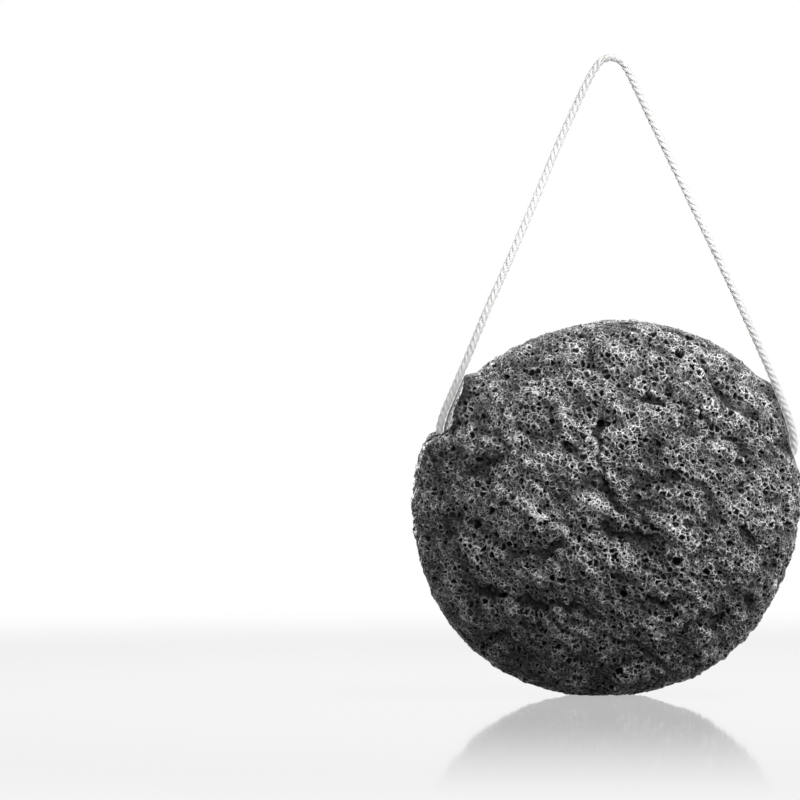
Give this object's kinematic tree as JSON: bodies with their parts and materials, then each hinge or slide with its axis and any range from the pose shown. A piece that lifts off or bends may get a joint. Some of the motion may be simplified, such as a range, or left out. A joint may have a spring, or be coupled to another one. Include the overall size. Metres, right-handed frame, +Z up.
{
  "type": "konjac sponge",
  "caption": "Round dome-faced facial sponge of dark porous foam with a flat back, threaded on a loop of white twisted cotton cord to hang it up.",
  "frame": {"origin": "seat under the top of the cord loop, where a hook bears, with the sponge hanging below it", "axes": "+Z up along the hanging loop, -Y towards the dome that is rubbed on the skin, +Y out of the flat back face, +X along the width"},
  "size_m": [0.08, 0.0384, 0.1326],
  "materials": {
    "foam": "dry open-cell plant-fibre foam, charcoal grey, matt with small bright glints on its cell walls",
    "cord": "white three-strand twisted cotton, matt and slightly fuzzy"
  },
  "bodies": {
    "loop": {"hanging_loop": "cord", "threaded_cord": "cord", "cord_knot": "cord"},
    "sponge": {"sponge_body": "foam"}
  },
  "joints": [
    {"name": "sponge_swing", "type": "hinge", "parent": "loop", "child": "sponge", "pos_m": [0.00125, 0, -0.0814], "axis": [0.9991, 0, -0.0421], "range_deg": [-55, 55]}
  ]
}
